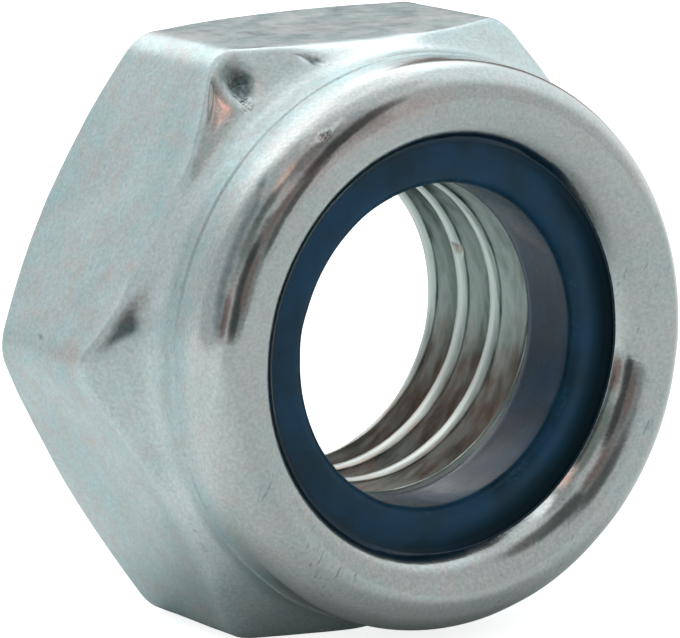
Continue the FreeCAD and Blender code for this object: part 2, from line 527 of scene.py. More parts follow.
@dataclass(frozen=True)
class PlatedSteel:
    """Blue-passivated zinc plate on cold-formed carbon steel.

    The plate is satin, a pale grey that drifts between cyan and rose in soft
    clouds where the passive film changes thickness. The plating bath leaves
    a fine grain, the rolled rim is burnished by its tool until it mirrors
    its surroundings, and dents show dark where the film broke. Its dark tints
    also paint dark reflections and shade, its rosy tint also paints rosy
    reflections, and a bright tint paints a highlight on the shoulder.

    The clouds and mottles are judged to have the size seen on the real nut.
    Flecks, crystals and scratches are typically 0.01 to 0.05 mm across, too
    fine to show, so their sizes here are as coarse as they need to be.
    """

    name: str = "zinc_plated_cold_formed_steel"
    pale: str = "#B9C8C9"
    cyan: str = "#A7C0C1"
    rose: str = "#C4BBB7"
    # Dark and brown tints of stains, also laid as painted dark reflections and painted shade
    dark: str = "#3C5257"
    brown: str = "#6E5A50"
    # Rosy tint of rubs, also laid as painted rosy reflections
    blush: str = "#C79A8F"
    rubbed: str = "#C1C3C1"
    # Painted highlight: bright tint of the band over the shoulder's blend into the collar
    drawn: str = "#D5DFDF"
    roughness: float = 0.34
    roughness_drift: float = 0.07
    burnished_share: float = 0.36
    cloud_mm: float = 2.6
    mottle_mm: float = 0.55
    fleck_mm: float = 0.17
    grain_mm: float = 0.08
    scratch_mm: float = 0.09
    scratch_length: float = 7.0
    scratch_turn: tuple[float, float, float] = (0.12, 0.52, 0.0)
    grain_depth_mm: float = 0.006
    fleck_depth_mm: float = 0.010
    mottle_depth_mm: float = 0.020
    fold_depth_mm: float = 0.10

    def build(self) -> bpy.types.Material:
        """Make the node material.

        Returns:
            The material, which reads the mesh's wear attributes.
        """
        material = blank_material(self.name)
        tree = material.node_tree
        place = add_node(tree, "ShaderNodeTexCoord").outputs["Object"]
        patterns = {}
        for key, size_mm, detail, roughness in (("cloud", self.cloud_mm, 3.0, 0.55),
                                                ("mottle", self.mottle_mm, 4.0, 0.66),
                                                ("fleck", self.fleck_mm, 2.0, 0.5),
                                                ("grain", self.grain_mm, 2.0, 0.5)):
            noise = add_node(tree, "ShaderNodeTexNoise",
                             {"Scale": per_mm(size_mm), "Detail": detail, "Roughness": roughness},
                             {"Vector": place})
            patterns[key] = noise.outputs["Fac"]
        for key in ("burnish", "drawn", "blush", "stain", "crumple"):
            worn = add_node(tree, "ShaderNodeAttribute", {"attribute_name": key})
            patterns[key] = worn.outputs["Fac"]
        patterns["scratch"] = self.scratches(tree, place)
        shader = add_node(tree, "ShaderNodeBsdfPrincipled", {"Metallic": 1.0},
                          {"Base Color": self.colour(tree, patterns),
                           "Roughness": self.satin(tree, patterns),
                           "Normal": self.relief(tree, patterns)})
        add_node(tree, "ShaderNodeOutputMaterial", {}, {"Surface": shader.outputs[0]})
        return material

    def scratches(self, tree: bpy.types.NodeTree,
                  place: bpy.types.NodeSocket) -> bpy.types.NodeSocket:
        """Long thin handling scratches that all lean one way.

        Args:
            tree: Node tree of the material.
            place: Socket with the point on the object.

        Returns:
            Socket that is highest on the scratches.
        """
        turned = add_node(tree, "ShaderNodeMapping",
                          {"vector_type": "TEXTURE", "Rotation": self.scratch_turn,
                           "Scale": (1.0, 1.0, self.scratch_length)}, {"Vector": place})
        return add_node(tree, "ShaderNodeTexNoise",
                        {"Scale": per_mm(self.scratch_mm), "Detail": 2.0, "Distortion": 0.3},
                        {"Vector": turned.outputs[0]}).outputs["Fac"]

    def colour(self, tree: bpy.types.NodeTree, patterns: Sockets) -> bpy.types.NodeSocket:
        """Lay the plate's tints over one another, and its stains and scratches over them, which
        also paint dark reflections and shade.

        Args:
            tree: Node tree of the material.
            patterns: Sockets of the noise patterns and wear attributes.

        Returns:
            Socket of the base colour.
        """
        cloud_share = add_node(tree, "ShaderNodeMapRange", {"From Min": 0.40, "From Max": 0.60},
                               {"Value": patterns["cloud"]})
        rose_share = add_node(tree, "ShaderNodeMapRange",
                              {"From Min": 0.44, "From Max": 0.70, "To Max": 0.70},
                              {"Value": patterns["mottle"]})
        fleck_share = add_node(tree, "ShaderNodeMapRange",
                               {"From Min": 0.44, "From Max": 0.70, "To Max": 0.45},
                               {"Value": patterns["fleck"]})
        thinned = add_node(tree, "ShaderNodeMath", {"operation": "MULTIPLY", 1: 0.6},
                           {0: patterns["burnish"]})
        tone = add_node(tree, "ShaderNodeMix",
                        {"data_type": "RGBA", 6: linear(self.pale), 7: linear(self.cyan)},
                        {0: cloud_share.outputs[0]}).outputs[2]
        for tint, share in ((self.rose, rose_share.outputs[0]), (self.cyan, fleck_share.outputs[0]),
                            (self.rubbed, thinned.outputs[0]), (self.drawn, patterns["drawn"]),
                            (self.blush, patterns["blush"])):
            tone = add_node(tree, "ShaderNodeMix", {"data_type": "RGBA", 7: linear(tint)},
                            {0: share, 6: tone}).outputs[2]
        # Stains darken the plate; the same share also paints dark reflections on the rim and shade
        # under the lip and in a groove
        torn = add_node(tree, "ShaderNodeMath", {"operation": "MULTIPLY_ADD", 1: 0.25},
                        {0: patterns["fleck"], 2: patterns["stain"]})
        stain_share = add_node(tree, "ShaderNodeMapRange",
                               {"From Min": 0.22, "From Max": 0.85, "To Max": 0.88},
                               {"Value": torn.outputs[0]})
        handled = add_node(tree, "ShaderNodeMath", {"operation": "MULTIPLY_ADD", 1: 0.5},
                           {0: patterns["cloud"], 2: patterns["scratch"]})
        scratch_share = add_node(tree, "ShaderNodeMapRange",
                                 {"From Min": 0.95, "From Max": 1.07, "To Max": 0.40},
                                 {"Value": handled.outputs[0]})
        dirty = add_node(tree, "ShaderNodeMath", {"operation": "MAXIMUM"},
                         {0: stain_share.outputs[0], 1: scratch_share.outputs[0]})
        film = add_node(tree, "ShaderNodeMix",
                        {"data_type": "RGBA", 6: linear(self.dark), 7: linear(self.brown)},
                        {0: rose_share.outputs[0]})
        stained = add_node(tree, "ShaderNodeMix", {"data_type": "RGBA"},
                           {0: dirty.outputs[0], 6: tone, 7: film.outputs[2]})
        pores = add_node(tree, "ShaderNodeMapRange",
                         {"From Min": 0.30, "From Max": 0.70, "To Min": 0.88, "To Max": 1.09},
                         {"Value": patterns["grain"]})
        return add_node(tree, "ShaderNodeVectorMath", {"operation": "SCALE"},
                        {0: stained.outputs[2], "Scale": pores.outputs[0]}).outputs[0]

    def satin(self, tree: bpy.types.NodeTree, patterns: Sockets) -> bpy.types.NodeSocket:
        """Roughness that drifts with the mottles and drops where the plate is burnished.

        Args:
            tree: Node tree of the material.
            patterns: Sockets of the noise patterns and wear attributes.

        Returns:
            Socket of the roughness.
        """
        drift = add_node(tree, "ShaderNodeMapRange",
                         {"From Min": 0.3, "From Max": 0.7,
                          "To Min": self.roughness - self.roughness_drift,
                          "To Max": self.roughness + self.roughness_drift},
                         {"Value": patterns["mottle"]})
        polish = add_node(tree, "ShaderNodeMapRange",
                          {"To Min": 1.0, "To Max": self.burnished_share},
                          {"Value": patterns["burnish"]})
        return add_node(tree, "ShaderNodeMath", {"operation": "MULTIPLY"},
                        {0: drift.outputs[0], 1: polish.outputs[0]}).outputs[0]

    def relief(self, tree: bpy.types.NodeTree, patterns: Sockets) -> bpy.types.NodeSocket:
        """Grain, flecks and mottles of the plate, and the fine folds of its dents.

        Args:
            tree: Node tree of the material.
            patterns: Sockets of the noise patterns and wear attributes.

        Returns:
            Socket of the bent normal.
        """
        strength = add_node(tree, "ShaderNodeMapRange", {"To Min": 0.32, "To Max": 0.11},
                            {"Value": patterns["burnish"]}).outputs[0]
        bent: Sockets = {}
        for key, depth_mm in (("grain", self.grain_depth_mm), ("fleck", self.fleck_depth_mm),
                              ("mottle", self.mottle_depth_mm)):
            bump = add_node(tree, "ShaderNodeBump", {"Distance": depth_mm * MM},
                            {"Height": patterns[key], "Strength": strength, **bent})
            bent = {"Normal": bump.outputs[0]}
        fold = add_node(tree, "ShaderNodeMath", {"operation": "MULTIPLY"},
                        {0: patterns["fleck"], 1: patterns["crumple"]})
        return add_node(tree, "ShaderNodeBump",
                        {"Strength": 1.0, "Distance": self.fold_depth_mm * MM},
                        {"Height": fold.outputs[0], **bent}).outputs[0]


@dataclass(frozen=True)
class TappedSteel:
    """Zinc-plated steel in the tapped thread.

    The tap leaves fine streaks along the turns. The crests are rubbed bright,
    and their tint is partly a painted highlight. The grooves hold a green-grey
    film, and a painted reflection turns them brown in the lower part.

    A tap's streaks are typically about 0.03 mm apart, and are drawn coarser
    so that they show. The size of the brown patches is judged.
    """

    name: str = "zinc_plated_tapped_steel"
    # Tint of the rubbed crests, partly a painted highlight
    crest: str = "#BFC9C6"
    groove_grey: str = "#B2C4BE"
    # Brown laid low in the bore as a painted reflection, and at the nick as a stain
    groove_brown: str = "#AE9F94"
    streak_mm: float = 0.10
    streak_squash: float = 0.12
    streak_depth_mm: float = 0.014
    patch_mm: float = 0.7

    def build(self) -> bpy.types.Material:
        """Make the node material.

        Returns:
            The material, which reads the mesh's attributes for the crest tint, partly a painted
            highlight, and for the brown, partly a painted reflection.
        """
        material = blank_material(self.name)
        tree = material.node_tree
        place = add_node(tree, "ShaderNodeTexCoord").outputs["Object"]
        turned = add_node(tree, "ShaderNodeMapping",
                          {"Scale": (self.streak_squash, 1.0, self.streak_squash)},
                          {"Vector": place})
        streak = add_node(tree, "ShaderNodeTexNoise",
                          {"Scale": per_mm(self.streak_mm), "Detail": 3.0},
                          {"Vector": turned.outputs[0]}).outputs["Fac"]
        patchy = add_node(tree, "ShaderNodeTexNoise",
                          {"Scale": per_mm(self.patch_mm), "Detail": 4.0, "Roughness": 0.6},
                          {"Vector": place})
        # Share of brown: a painted reflection low in the bore, and the nick's stain
        film = add_node(tree, "ShaderNodeAttribute", {"attribute_name": "film"})
        edge = add_node(tree, "ShaderNodeMath", {"operation": "MULTIPLY_ADD", 1: 1.2},
                        {0: patchy.outputs["Fac"], 2: film.outputs["Fac"]})
        film_share = add_node(tree, "ShaderNodeMapRange", {"From Min": 0.75, "From Max": 1.25},
                              {"Value": edge.outputs[0]})
        groove = add_node(tree, "ShaderNodeMix",
                          {"data_type": "RGBA", 6: linear(self.groove_grey),
                           7: linear(self.groove_brown)},
                          {0: film_share.outputs[0]})
        scored = add_node(tree, "ShaderNodeMapRange",
                          {"From Min": 0.32, "From Max": 0.62, "To Min": 0.52, "To Max": 1.10},
                          {"Value": streak})
        lined = add_node(tree, "ShaderNodeVectorMath", {"operation": "SCALE"},
                         {0: groove.outputs[2], "Scale": scored.outputs[0]})
        rubbed = add_node(tree, "ShaderNodeMapRange",
                          {"From Min": 0.50, "From Max": 0.66, "To Max": 0.70}, {"Value": streak})
        crest = add_node(tree, "ShaderNodeAttribute", {"attribute_name": "crest"})
        bright = add_node(tree, "ShaderNodeMath", {"operation": "MAXIMUM"},
                          {0: crest.outputs["Fac"], 1: rubbed.outputs[0]})
        base = add_node(tree, "ShaderNodeMix", {"data_type": "RGBA", 7: linear(self.crest)},
                        {0: bright.outputs[0], 6: lined.outputs[0]})
        rough = add_node(tree, "ShaderNodeMapRange",
                         {"From Min": 0.3, "From Max": 0.7, "To Min": 0.26, "To Max": 0.46},
                         {"Value": streak})
        bump = add_node(tree, "ShaderNodeBump",
                        {"Strength": 0.8, "Distance": self.streak_depth_mm * MM},
                        {"Height": streak})
        shader = add_node(tree, "ShaderNodeBsdfPrincipled", {"Metallic": 1.0},
                          {"Base Color": base.outputs[2], "Roughness": rough.outputs[0],
                           "Normal": bump.outputs[0]})
        add_node(tree, "ShaderNodeOutputMaterial", {}, {"Surface": shader.outputs[0]})
        return material


@dataclass(frozen=True)
class MouldedPolyamide:
    """Dark blue polyamide, injection moulded.

    Semi-gloss, deep teal-blue with slow changes of depth, fine lines round
    the bore from the core pin, a few pale handling scuffs, and painted shade
    at the edges where the rim closes over it, widest on the low side.

    The size of the changes of depth is judged. The pin's lines and the
    scuffs are typically about 0.03 mm wide, and are drawn coarser so that
    they show.
    """

    name: str = "injection_moulded_polyamide"
    deep: str = "#0F394D"
    worn: str = "#164765"
    scuff: str = "#3F6C86"
    shade: str = "#0C2C36"
    roughness: float = 0.36
    cloud_mm: float = 0.9
    pin_line_mm: float = 0.09
    pin_line_depth_mm: float = 0.008
    scuff_mm: float = 0.16
    scuff_depth_mm: float = 0.012

    def build(self) -> bpy.types.Material:
        """Make the node material.

        Returns:
            The material, which reads the mesh's bore, scuff and gap attributes.
        """
        material = blank_material(self.name)
        tree = material.node_tree
        place = add_node(tree, "ShaderNodeTexCoord").outputs["Object"]
        cloud = add_node(tree, "ShaderNodeTexNoise",
                         {"Scale": per_mm(self.cloud_mm), "Detail": 4.0},
                         {"Vector": place}).outputs["Fac"]
        turned = add_node(tree, "ShaderNodeMapping", {"Scale": (0.1, 1.0, 0.1)}, {"Vector": place})
        rings = add_node(tree, "ShaderNodeTexNoise",
                         {"Scale": per_mm(self.pin_line_mm), "Detail": 2.0},
                         {"Vector": turned.outputs[0]})
        scratch = add_node(tree, "ShaderNodeTexNoise",
                           {"Scale": per_mm(self.scuff_mm), "Detail": 3.0, "Distortion": 0.8},
                           {"Vector": place})
        bore, scuff, gap = (
            add_node(tree, "ShaderNodeAttribute", {"attribute_name": key}).outputs["Fac"]
            for key in ("bore", "scuff", "gap"))
        depth_share = add_node(tree, "ShaderNodeMapRange", {"From Min": 0.4, "From Max": 0.65},
                               {"Value": cloud})
        tone = add_node(tree, "ShaderNodeMix",
                        {"data_type": "RGBA", 6: linear(self.deep), 7: linear(self.worn)},
                        {0: depth_share.outputs[0]}).outputs[2]
        ragged = add_node(tree, "ShaderNodeMath", {"operation": "MULTIPLY_ADD", 1: 1.4},
                          {0: scratch.outputs["Fac"], 2: scuff})
        scuff_share = add_node(tree, "ShaderNodeMapRange",
                               {"From Min": 1.12, "From Max": 1.45, "To Max": 0.55},
                               {"Value": ragged.outputs[0]})
        for tint, share in ((self.scuff, scuff_share.outputs[0]), (self.shade, gap)):
            tone = add_node(tree, "ShaderNodeMix", {"data_type": "RGBA", 7: linear(tint)},
                            {0: share, 6: tone}).outputs[2]
        rough = add_node(tree, "ShaderNodeMapRange",
                         {"From Min": 0.3, "From Max": 0.7, "To Min": self.roughness - 0.06,
                          "To Max": self.roughness + 0.08}, {"Value": cloud}).outputs[0]
        for gain, share in ((-0.10, bore), (0.45, gap)):
            rough = add_node(tree, "ShaderNodeMath", {"operation": "MULTIPLY_ADD", 1: gain},
                             {0: share, 2: rough}).outputs[0]
        line_height = add_node(tree, "ShaderNodeMath", {"operation": "MULTIPLY"},
                               {0: rings.outputs["Fac"], 1: bore})
        lines = add_node(tree, "ShaderNodeBump",
                         {"Strength": 0.3, "Distance": self.pin_line_depth_mm * MM},
                         {"Height": line_height.outputs[0]})
        bump = add_node(tree, "ShaderNodeBump",
                        {"Strength": 0.35, "Distance": self.scuff_depth_mm * MM},
                        {"Height": scratch.outputs["Fac"], "Normal": lines.outputs[0]})
        shader = add_node(tree, "ShaderNodeBsdfPrincipled",
                          {"IOR": 1.53, "Specular IOR Level": 0.22},
                          {"Base Color": tone, "Roughness": rough, "Normal": bump.outputs[0]})
        add_node(tree, "ShaderNodeOutputMaterial", {}, {"Surface": shader.outputs[0]})
        return material


@dataclass
class NutBody:
    """The one-piece plated nut: its outside, its ring seat and its thread.

    Lengths are in millimetres. Rear_soft and front_soft round the edges of
    the hexagon, pull is the height over which the heading tool drew each
    flat's front edge out, and base_taper narrows the collar's base.
    """

    sizes: NutSizes = field(default_factory=NutSizes)
    corner_columns: int = 8
    flat_columns: int = 44
    rear_soft: float = 0.10
    front_soft: float = 0.10
    pull: float = 0.50
    pull_shift_deg: float = 4.5
    base_taper: float = 0.028
    rim_rows: int = 54
    marks: tuple[Wear, ...] = ()
    nick: Mark = Mark(19.3, 3.5, 3.0, 0.20, depth=0.10, stain=1.0)

    def pulled(self, theta: np.ndarray) -> np.ndarray:
        """Height over which the heading tool pulled a flat's front edge into the collar.

        Args:
            theta: Angle round the thread axis, in radians.

        Returns:
            Height in millimetres, full at the middle of a flat and 0 at its corners.
        """
        half = SECTOR / 2.0
        outer, inner = math.radians(17.0), math.radians(8.0)
        middle = half + math.radians(self.pull_shift_deg)
        off = np.abs(np.mod(theta - middle + half, SECTOR) - half)
        return self.pull * smooth_step(outer, inner, off)

    def front_edge(self, theta: np.ndarray) -> np.ndarray:
        """Height at which the shoulder cone meets the hexagon."""
        s, slope = self.sizes, math.tan(math.radians(self.sizes.shoulder_slope_deg))
        return s.shoulder_start + (s.corner_r - s.hex_radius(theta)) * slope

    def drawn(self, theta: np.ndarray, height: np.ndarray) -> np.ndarray:
        """Share of the painted highlight, a bright band laid where the tool drew the shoulder into
        the collar.

        Args:
            theta: Angle round the thread axis, in radians.
            height: Height over the bearing face, in millimetres.

        Returns:
            Share of the band at each point.
        """
        band_top, band_fade, at_corners = 5.95, 0.40, 0.4
        edge = self.front_edge(theta)
        band = smooth_step(edge - 0.55, edge + 0.05, height)
        band = band * smooth_step(band_top, band_top - band_fade, height)
        return band * (at_corners + (1.0 - at_corners) * self.pulled(theta) / self.pull)

    def front_radius(self, theta: np.ndarray, height: np.ndarray) -> np.ndarray:
        """Radius of the hexagon, shoulder and collar base, eased where the edge is pulled.

        Args:
            theta: Angle round the thread axis, in radians.
            height: Height over the bearing face, in millimetres.

        Returns:
            Radius in millimetres at each point.
        """
        samples = 15
        hexagon = self.sizes.hex_radius(theta)
        offsets = np.linspace(-1.0, 1.0, samples)
        weights = np.cos(offsets * math.pi / 2.0) ** 2
        total = np.zeros_like(theta)
        for offset, weight in zip(offsets, weights / weights.sum()):
            front = self.shoulder_radius(height + self.pulled(theta) * offset)
            total += weight * soft_min(hexagon, front, self.front_soft)
        return total - self.base_taper * smooth_step(5.5, 6.1, height)

    def shoulder_radius(self, height: np.ndarray) -> np.ndarray:
        """Radius of the shoulder cone, its blend and the collar base.

        Args:
            height: Height over the bearing face, in millimetres.

        Returns:
            Radius in millimetres at each height.
        """
        s = self.sizes
        slope = math.radians(s.shoulder_slope_deg)
        turn = (math.pi / 2.0 - slope) / 2.0
        tangent = s.shoulder_blend * math.tan(turn)
        meet = s.shoulder_start + (s.corner_r - s.collar_base_r) * math.tan(slope)
        cone = s.corner_r - (height - s.shoulder_start) / math.tan(slope)
        centre_r = s.collar_base_r + s.shoulder_blend
        centre_h = meet + tangent
        inside = np.clip(s.shoulder_blend ** 2 - (height - centre_h) ** 2, 0.0, None)
        blend = centre_r - np.sqrt(inside)
        low = meet - tangent * math.sin(slope)
        return np.where(height < low, cone, np.where(height < centre_h, blend, s.collar_base_r))

    def rim(self) -> list[tuple[float, float]]:
        """Section of the rolled rim, from the collar over the crown to the lip.

        Returns:
            Radius and height of its points, in millimetres.
        """
        s = self.sizes
        crown_spread = 0.09
        run: list[tuple[float, float]] = []
        arcs = ((s.collar_r - s.rim_outer, s.rim_start, s.rim_outer, -90.0, -s.rim_turn_deg, 14),
                (s.crown_r, s.height - s.rim_crown, s.rim_crown, -s.rim_turn_deg, 0.0, 8),
                (s.crown_r, s.height - s.rim_inner, s.rim_inner, 0.0, s.rim_face_deg, 14))
        for centre_r, centre_h, radius, start, end, count in arcs:
            for t in np.radians(np.linspace(start, end, count + 1)[1:]):
                run.append((centre_r - radius * math.sin(t), centre_h + radius * math.cos(t)))
        face_r, face_h = run[-1]
        for t in (0.35, 0.7, 0.93):
            run.append((face_r + (s.lip_r - face_r) * t, face_h + (s.lip_top - face_h) * t))
        return eased([(s.collar_r, s.rim_start - 0.02)] + run, self.rim_rows, crown_spread)

    def outside(self, theta: np.ndarray) -> np.ndarray:
        """Rows of points from the rear countersink over the outside to the ring seat.

        Args:
            theta: Angles of the columns.

        Returns:
            Points in millimetres, shaped rows by columns by three.
        """
        s = self.sizes
        rows = [(r, 0.0) for r in (s.back_sink_r, s.back_sink_r + 0.03, 5.3, 5.6, 5.9, 5.99)]
        rows += [(s.bearing_r - 0.025, 0.004), (s.bearing_r, 0.014), (s.bearing_r + 0.025, 0.028)]
        rows += self.hexagon_rows(theta)
        rows += self.collar_rows()
        rows += self.rim()
        middle = (s.lip_top + s.lip_edge) / 2.0
        rows += [(s.lip_r + r, height) for r, height in
                 ((0.004, middle + 0.018), (0.0, middle), (0.006, middle - 0.02),
                  (0.03, s.lip_edge), (0.35, s.lip_edge - 0.04))]
        rows += [(s.seat_r - 0.05, s.seat_top + 0.004), (s.seat_r, s.seat_top - 0.05),
                 (s.seat_r, 6.2), (s.seat_r, s.seat_floor + 0.05),
                 (s.seat_r - 0.05, s.seat_floor), (4.6, s.seat_floor),
                 (s.front_sink_r, s.seat_floor)]
        radii, heights = (np.array([row[k] + 0.0 * theta for row in rows]) for k in (0, 1))
        return s.place(theta[None, :], radii, heights)

    def hexagon_rows(self, theta: np.ndarray) -> list[tuple[np.ndarray, np.ndarray]]:
        """Rows over the rear chamfer, the flats and the shoulder, closer at the edges.

        Args:
            theta: Angles of the columns.

        Returns:
            Radius and height of each row, in millimetres.
        """
        s = self.sizes
        chamfer = math.tan(math.radians(s.bearing_chamfer_deg))
        back_edge = (s.hex_radius(theta) - s.bearing_r) * chamfer
        front_edge = self.front_edge(theta)
        spread = 1.25 * self.front_soft + self.pulled(theta)
        reach = 0.9 * self.rear_soft
        first, top = 0.06, s.step_height - 0.075
        behind = np.minimum(spread, s.step_height - 0.14 - front_edge)
        # Each run goes from one height to another in a number of rows, its first row left out
        runs = ((back_edge - 0.75 * reach, back_edge + reach, 8),
                (back_edge + reach, front_edge - spread, 17),
                (front_edge - spread, front_edge, 9),
                (front_edge, front_edge + behind, 9),
                (front_edge + behind, top, 15))
        stations = [first + (back_edge - reach - first) * t for t in np.linspace(0.0, 1.0, 5)]
        stations.append(runs[0][0])
        for low, high, count in runs:
            stations += [low + (high - low) * t for t in np.linspace(0.0, 1.0, count)[1:]]
        rows = []
        for height in stations:
            rear = s.bearing_r + height / chamfer
            rows.append((soft_min(self.front_radius(theta, height), rear, self.rear_soft), height))
        return rows

    def collar_rows(self) -> list[tuple[float, float]]:
        """Rows down the fine step, then along the slight taper up to the rim.

        Returns:
            Radius and height of each row, in millimetres.
        """
        s = self.sizes
        taper_share = 0.24
        drop = s.collar_base_r - s.collar_r
        rows = [(s.collar_base_r - drop * share, s.step_height + height) for share, height in
                ((0.36, -0.050), (0.38, -0.032), (0.46, -0.014), (0.60, 0.004), (0.71, 0.020),
                 (0.765, 0.036), (0.77, 0.055), (0.76, 0.09))]
        start, end = s.step_height + 0.10, s.rim_start - 0.06
        for t in np.linspace(0.0, 1.0, 8)[1:]:
            rows.append((s.collar_r + drop * taper_share * (1.0 - t), start + (end - start) * t))
        return rows

    def thread(self, theta: np.ndarray) -> tuple[np.ndarray, np.ndarray, np.ndarray, int]:
        """Rows of points down the tapped bore, each row following the helix.

        Args:
            theta: Angles of the columns.

        Returns:
            Points in millimetres, how much each point takes the crest tint, partly
            a painted highlight, how much it takes the brown, a painted reflection in
            the lower part and a stain at the nick, and the number of rows in one turn.
        """
        s = self.sizes
        half_angle_deg, root_share = 30.0, 0.06
        crown_mm, root_round_mm, root_round_width = 0.042, 0.02, 0.04
        brown_top, brown_full, brown_share = 6.9, 4.5, 0.56
        rear_rubbed, front_rubbed = 0.88, 0.45
        depth = s.thread_major_r - s.thread_minor_r
        flank = depth * math.tan(math.radians(half_angle_deg))
        land = s.pitch / 2.0 - s.pitch * root_share - flank
        steps = (0.0, 0.45 * land, 0.8 * land, 0.95 * land, land + 0.02, land + 0.06,
                 land + 0.3 * flank, land + 0.6 * flank, land + 0.85 * flank, land + flank - 0.015,
                 land + flank + 0.025, s.pitch / 2.0)
        phases = sorted({-step for step in steps[1:]} | set(steps[:-1]))
        turns = range(-3, math.ceil(s.seat_floor / s.pitch) + 3)
        first = s.crest_height - math.floor(s.crest_height / s.pitch) * s.pitch
        heights, phase_rows = [], []
        for k in turns:
            for phase in phases:
                base = first + k * s.pitch + phase
                heights.append(base + s.pitch * theta / (2.0 * math.pi))
                phase_rows.append(abs(phase) + 0.0 * theta)
        height = np.array(heights)
        phase = np.array(phase_rows)
        ramp = np.clip((phase - land) / flank, 0.0, 1.0)
        crown = crown_mm * smooth_step(0.30 * land, land, phase) * (1.0 - ramp)
        round_out = root_round_mm * np.exp(-((phase - land - flank) / root_round_width) ** 2)
        radius = s.thread_minor_r + depth * ramp + crown - round_out
        height = np.clip(height, 0.0, s.seat_floor)
        rear = s.back_sink_r - height
        front = s.front_sink_r - (s.seat_floor - height)
        sink = np.maximum(rear, front)
        # The crest tint is the crests' rubbed brightness and partly a painted highlight, kept
        # narrow on the land
        crest = 0.94 * smooth_step(0.70 * land, 0.22 * land, phase)
        crest = crest * smooth_step(0.03, -0.03, sink - radius)
        radius = -soft_min(-radius, -sink, 0.05)
        points = s.place(theta[None, :], radius, height)
        nicked = self.nick.weight(s, points)
        points = s.place(theta[None, :], radius + self.nick.depth * nicked, height)
        tapped = smooth_step(0.10, -0.10, sink - radius)
        # Painted reflection: the grooves turn brown towards the bottom of the bore
        film = smooth_step(brown_top, brown_full, points[..., 2]) * brown_share * tapped
        film = film + self.nick.stain * nicked
        turned = np.where(height < s.seat_floor / 2.0, rear_rubbed, front_rubbed) * (1.0 - tapped)
        crest = np.maximum(crest * (1.0 - nicked), turned)
        return points[::-1], crest[::-1], film[::-1], -len(phases)

    def marked(self, points: np.ndarray) -> tuple[np.ndarray, dict[str, np.ndarray]]:
        """Press the marks and a faint forging waviness into the surface.

        Args:
            points: Rows of points in millimetres.

        Returns:
            Moved points, and the crumple, the darkening (stains, painted dark reflections and
            painted shade), the rosy tint (rubs and painted rosy reflections) and the polish of each
            point.
        """
        broad_mm, narrow_mm, torn_mm = 3.0, 0.9, 0.30
        broad_depth, narrow_depth = 0.010, 0.003
        normal = grid_normals(points)
        shown = {key: np.zeros(points.shape[:2]) for key in ("crumple", "stain", "blush", "polish")}
        push = broad_depth * waves(points, broad_mm, 11)
        push = push + narrow_depth * waves(points, narrow_mm, 12)
        torn = waves(points, torn_mm, 13)
        for mark in self.marks:
            weight = mark.weight(self.sizes, points)
            push -= mark.press(self.sizes, points) + mark.rugged * weight * (0.5 + 0.5 * torn)
            for key, values in shown.items():
                np.maximum(values, getattr(mark, key) * weight, out=values)
        return points + normal * np.minimum(push, 0.0)[..., None], shown

    def build(self) -> bpy.types.Object:
        """Make the nut's mesh, dress it and set it in the frame.

        Returns:
            The nut.
        """
        rolled_from, rolled_to = 6.3, 6.9
        theta = self.sizes.angles(self.corner_columns, self.flat_columns)
        outside, shown = self.marked(self.outside(theta))
        bore, crest, film, turn_rows = self.thread(theta)
        height = self.sizes.height / 2.0 - outside[..., 1]
        burnish = np.maximum(smooth_step(rolled_from, rolled_to, height), shown.pop("polish"))
        # The band's bright tint is a painted highlight
        drawn = self.drawn(theta, height)
        grid = GridMesh("plated_nut")
        grid.add(outside, crest=0.0, film=0.0, burnish=burnish, drawn=drawn, **shown)
        grid.add(bore, slot=1, turn_rows=turn_rows, crest=crest, film=film, burnish=0.0, drawn=0.0,
                 crumple=0.0, stain=0.0, blush=0.0)
        obj = grid.build()
        obj.data.materials.append(PlatedSteel().build())
        obj.data.materials.append(TappedSteel().build())
        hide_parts(Node.BODY.value)
        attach(obj, "root")
        return obj


